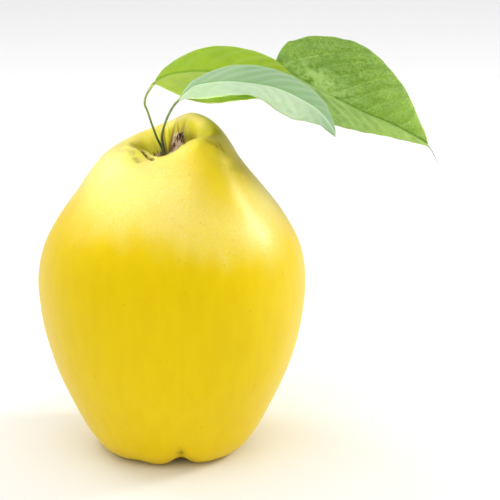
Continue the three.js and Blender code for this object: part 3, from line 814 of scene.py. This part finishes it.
# A route runs from the root of the stalk to the leaf's tip, and "blade" says between which of
# its places the blade lies. "far" and "near" are the halves behind and in front of the midrib:
# their widths at SHARES, and their tilts in degrees at equal steps. The pale patch is painted
# sheen: its strength, its place and spread along the blade, and its place and spread across it.
# In the finish, "near" turns to "outer" along the front half, and both halves to "tip" at the end.
LEAVES = {
    "leaf_left": {
        "slot": "leaf_yellow_green",
        "route": [
            (-2.6, -2, 95.1),
            (-2.4, -2.1, 99.6),
            (-3.3, -2.1, 101.7),
            (-4.6, -1.8, 104.3),
            (-6.3, -1.1, 108.8),
            (-7.6, 0, 112.6),
            (-8.6, 1, 115),
            (-8.2, 2, 117.2),
            (-6.9, 3, 119.4),
            (-5.6, 4, 121.1),
            (-3.1, 5, 122.4),
            (-0.3, 6, 123.3),
            (5.8, 8, 123.8),
            (10.6, 9, 123.6),
            (17, 10, 122.7),
            (23.5, 10.5, 121.6),
            (29.9, 10, 120.1),
            (36.4, 9, 118.2),
            (42.8, 8, 115.6),
        ],
        "blade": (9, 18),
        "stalk": 0.37,
        "rib": 0.36,
        "far": ((0, 2, 4, 7.8, 11.2, 13.8, 15.4, 15.5, 14, 10.7, 6, 3.2, 0), (23.5,)),
        "near": (
            (0, 6, 9.5, 12.6, 14.2, 15.2, 15.5, 15.2, 13.6, 10.5, 6, 3.2, 0),
            (38, 34, 25, 16, 12, 12),
        ),
        "wave": 0.2,
        "pucker": 0.3,
        "belly": 0.6,
        "sweep": 0,
        "painted_sheen": (0, 0.5, 0.2, 0, 5),
        "stalk_top": (0.27, 0.38, 0.04, 1),
        "finish": {
            "far": (0.26, 0.365, 0.006, 1),
            "near": (0.3, 0.385, 0.045, 1),
            "outer": (0.36, 0.54, 0.02, 1),
            "tip": (0.26, 0.37, 0.01, 1),
            "tip_from": 0.8,
            "dark": (0.14, 0.26, 0.005, 1),
            "veins": (0.22, 0.36, 0.02, 1),
            "clear": 0.35,
            "mottle": 0.25,
            "stipple": 0.12,
            "network": 0.08,
            "sheen": 0.05,
        },
    },
    "leaf_front": {
        "slot": "leaf_pale_green",
        "route": [
            (-1.9, -3.3, 95.1),
            (-2.4, -3.2, 100.5),
            (-3.1, -3.4, 105.2),
            (-2, -4, 109.5),
            (0.1, -5.2, 114.3),
            (2.3, -6, 117.6),
            (6.5, -7, 122),
            (11.6, -8, 123.6),
            (17.2, -9, 124.4),
            (22.9, -10, 124.3),
            (28.8, -11, 123.7),
            (34.2, -12, 122.6),
            (40.1, -13, 120.1),
            (46.4, -14, 116.2),
            (50.1, -14.5, 111.8),
            (51.9, -15, 108.1),
        ],
        "blade": (5, 15),
        "stalk": 0.37,
        "rib": 0.28,
        "far": ((0, 1.4, 3.5, 9.2, 12.6, 14.1, 14.4, 14, 12.7, 10.2, 7, 4.6, 0), (10.5,)),
        "near": (
            (0, 3, 6, 9.8, 12.7, 14.4, 14.3, 14.3, 13, 9.8, 5.6, 3.8, 0),
            (16, 16, 14, 7, 2.5, 3, 11, 18, 21, 18, 12),
        ),
        "wave": 0.15,
        "pucker": 0.22,
        "belly": 0.4,
        "sweep": 0,
        "painted_sheen": (0.55, 0.66, 0.26, -9, 5.5),
        "stalk_top": (0.12, 0.2, 0.03, 1),
        "finish": {
            "far": (0.205, 0.335, 0.165, 1),
            # The near half is paler and bluer than the far half, most on its outer part: painted
            # sheen, the sky reflected at a grazing angle, over the leaf's green.
            "near": (0.36, 0.49, 0.3, 1),
            "outer": (0.42, 0.51, 0.38, 1),
            "tip": (0.15, 0.27, 0.12, 1),
            "tip_from": 0.74,
            "dark": (0.17, 0.32, 0.13, 1),
            "veins": (0.5, 0.64, 0.44, 1),
            "clear": 0.16,
            "mottle": 0.2,
            "stipple": 0.08,
            "network": 0.06,
            "sheen": 0.25,
        },
    },
    "leaf_back": {
        "slot": "leaf_mid_green",
        "route": [
            (-2.3, 2.9, 95.1),
            (-2.8, 3, 99.6),
            (-3.3, 3.4, 103.5),
            (-2.4, 4.5, 107.4),
            (-0.4, 6.5, 111.6),
            (1.6, 8.3, 114),
            (8.7, 12, 117),
            (16.9, 16, 119.4),
            (25.1, 20, 121.4),
            (33, 24, 122.4),
            (39.6, 25, 118.9),
            (47.6, 25, 114.1),
            (56.5, 24, 109.6),
            (63.8, 23, 106.1),
            (70.4, 22, 103.6),
            (76.9, 20, 100.7),
            (83.8, 18, 96.8),
            (85.8, 17.6, 93.9),
            (87.3, 17.3, 90.6),
        ],
        "blade": (9, 16),
        "stalk": 0.37,
        "rib": 0.42,
        "far": ((0, 7.6, 11.8, 18.4, 21.8, 22.8, 22, 20, 16.3, 10.7, 5.4, 3, 0), (50,)),
        "near": ((0, 9.5, 14.5, 20.5, 22.4, 22.2, 20, 16, 12.8, 10, 6, 3.4, 0), (10,)),
        "wave": 0.08,
        "pucker": 0.36,
        "belly": 0.8,
        "sweep": 0.28,
        "painted_sheen": (0.75, 0.3, 0.2, 2.5, 4.5),
        "stalk_top": (0.17, 0.27, 0.06, 1),
        "finish": {
            "far": (0.185, 0.275, 0.03, 1),
            "near": (0.2, 0.31, 0.055, 1),
            "outer": (0.225, 0.335, 0.065, 1),
            "tip": (0.3, 0.41, 0.075, 1),
            "tip_from": 0.3,
            "dark": (0.075, 0.16, 0.006, 1),
            "veins": (0.5, 0.62, 0.3, 1),
            "clear": 0.28,
            "mottle": 0.5,
            "stipple": 0.7,
            "network": 0.15,
            "sheen": 0.12,
        },
    },
}


def stalk_finish(name, top_colour):
    """Green stalk, nearly black with old bark at its root, with a fine grain along it."""
    finish, shader = new_finish(name, Roughness=0.5, Specular_IOR_Level=0.4)
    colour = blend_colour(finish, share_of(finish, "fresh"), OLD_STALK, top_colour)
    grainy = calculate(finish, "MULTIPLY", grain(finish, 1500, 0.4, 0.65, 3, (1, 1, 0.3)), 0.35)
    feed(finish, shader, Base_Color=blend_colour(finish, grainy, colour, STALK_GRAIN))
    return finish


for leaf_name, leaf in LEAVES.items():
    blade = leaf_blade(leaf_name + "_blade", leaf)
    put_on(blade, leaf_name, leaf_finish(leaf_name + "_green", leaf["finish"]))
    stalk_green = stalk_finish(leaf_name + "_stalk_green", leaf["stalk_top"])
    stalk = leaf_stalk(leaf_name + "_stalk", leaf)
    strand = places(stalk)
    high_up = ramp(strand[:, 2], 103, 114)
    far_out = ramp(strand[:, 0], 8, 16)
    keep_share(stalk, "fresh", np.maximum(high_up, far_out))
    put_on(stalk, None, stalk_green)


# CALYX
# The dried flower cup sits in the basin under the fruit. Its sepals have curled and withered to
# brown scales, and a tuft of dead stamens stands in the cup.
DARK_SEPAL = (0.05, 0.025, 0.01, 1)
BROWN_SEPAL = (0.22, 0.14, 0.065, 1)
STAMENS = 22
STAMEN_TURN = 2.4  # radians from one to the next
STAMEN_ROOT = 7.9  # above the table
STAMEN_RADIUS = 0.16
STAMEN_END_RADIUS = 0.26

calyx = copy_of_solid("calyx", "calyx_cup")
apply_modifier(calyx, "SUBSURF", levels=2, render_levels=2)
sepals = places(calyx)
crumple = 0.22 * unevenness(sepals, 1.3) + 0.1 * unevenness(sepals, 0.5, 4)
place_at(calyx, sepals + vectors(calyx.data.vertex_normals, "vector") * crumple[:, None])
select_only(calyx)
bpy.ops.object.shade_smooth()
sepal_finish, sepal_shader = new_finish("dry_sepal", Roughness=0.85, Specular_IOR_Level=0.25)
sepal_patches = grain(sepal_finish, 700, 0.35, 0.65, 4)
sepal_grain = grain(sepal_finish, 1500, 0.3, 0.7, 3)
feed(
    sepal_finish,
    sepal_shader,
    Base_Color=blend_colour(sepal_finish, sepal_patches, DARK_SEPAL, BROWN_SEPAL),
    Normal=relief(sepal_finish, sepal_grain, 0.6, 0.15),
)
put_on(calyx, "calyx", sepal_finish)

stamen_lines = []
for number in range(STAMENS):
    angle = number * STAMEN_TURN
    foot = chance.uniform(0.3, 2.4)
    tip = foot + chance.uniform(-0.4, 1.0)
    bottom = chance.uniform(2.6, 4.6)
    line = []
    for step in range(5):
        share = step / 4
        radius = foot + (tip - foot) * share
        bend = angle + 0.5 * share * math.sin(number)
        x = radius * math.cos(bend)
        y = radius * math.sin(bend)
        z = STAMEN_ROOT + (bottom - STAMEN_ROOT) * share
        line.append((x, y, z, STAMEN_RADIUS if step < 4 else STAMEN_END_RADIUS))
    stamen_lines.append(line)
put_on(strands("stamens", stamen_lines, 1), None, sepal_finish)


# TABLE, LIGHT AND CAMERA
# The quince stands on a plain pale table under a large soft light, with soft lights from the
# right and the left that edge it, and a narrow one from the front left for the knob, which the
# leaves shade. The camera looks at it from the front and a little above. All in metres.
TABLE_SIZE = 8
TABLE_COLOUR = (0.95, 0.95, 0.95, 1)
SURROUNDING_STRENGTH = 0.63
SUN_POWER = 0.52
SUN_WIDTH = 70  # degrees
SUN_TILT = (12, -8)  # degrees about X and Y
BODY = (-0.012, 0, 0.06)
CROWN = (-0.012, 0.003, 0.113)
# Each lamp's name, place, size, power, spread in degrees, and the place at which it aims.
LAMPS = (
    ("overhead", (-0.02, -0.3, 0.78), (0.5, 0.4), 0.75, 180, BODY),
    ("right", (0.62, 0.22, 0.42), (0.15, 0.22), 2.3, 180, BODY),
    ("back_left", (-0.42, 0.32, 0.5), (0.35, 0.35), 1.2, 180, BODY),
    ("crown", (-0.45, -0.36, 0.16), (0.05, 0.05), 0.0085, 6, CROWN),
)
CAMERA_PLACE = (0.003087, -0.669413, 0.271094)
CAMERA_DROP = 17.0  # degrees below level
CAMERA_LENS = 154.7  # millimetres, as the sensor's width
CAMERA_SENSOR = 36

bpy.ops.mesh.primitive_plane_add(size=TABLE_SIZE, location=(0, 0, 0))
table = bpy.context.object
table.name = "table"
table_finish, _ = new_finish(
    "pale_table", Base_Color=TABLE_COLOUR, Roughness=0.7, Specular_IOR_Level=0.2
)
table.data.materials.append(table_finish)

world = bpy.data.worlds.new("studio")
bpy.context.scene.world = world
world.use_nodes = True
surrounding = world.node_tree.nodes["Background"]
surrounding.inputs["Color"].default_value = (1, 1, 1, 1)
surrounding.inputs["Strength"].default_value = SURROUNDING_STRENGTH

sky = bpy.data.lights.new("sky", "SUN")
sky.energy = SUN_POWER
sky.angle = math.radians(SUN_WIDTH)
sky_lamp = bpy.data.objects.new("sky", sky)
bpy.context.scene.collection.objects.link(sky_lamp)
sky_lamp.rotation_euler = (math.radians(SUN_TILT[0]), math.radians(SUN_TILT[1]), 0)

for lamp_name, lamp_place, lamp_size, power, spread, aim in LAMPS:
    light = bpy.data.lights.new(lamp_name, "AREA")
    light.shape = "RECTANGLE"
    light.size, light.size_y = lamp_size
    light.energy = power
    light.spread = math.radians(spread)
    lamp = bpy.data.objects.new(lamp_name, light)
    bpy.context.scene.collection.objects.link(lamp)
    lamp.location = lamp_place
    ahead = Vector(aim) - Vector(lamp_place)
    lamp.rotation_euler = ahead.to_track_quat("-Z", "Y").to_euler()

view = bpy.data.cameras.new("view")
view.lens = CAMERA_LENS
view.sensor_width = CAMERA_SENSOR
camera = bpy.data.objects.new("view", view)
bpy.context.scene.collection.objects.link(camera)
camera.location = CAMERA_PLACE
camera.rotation_euler = (math.radians(90 - CAMERA_DROP), 0, 0)
bpy.context.scene.camera = camera
bpy.context.scene.view_settings.view_transform = "Standard"
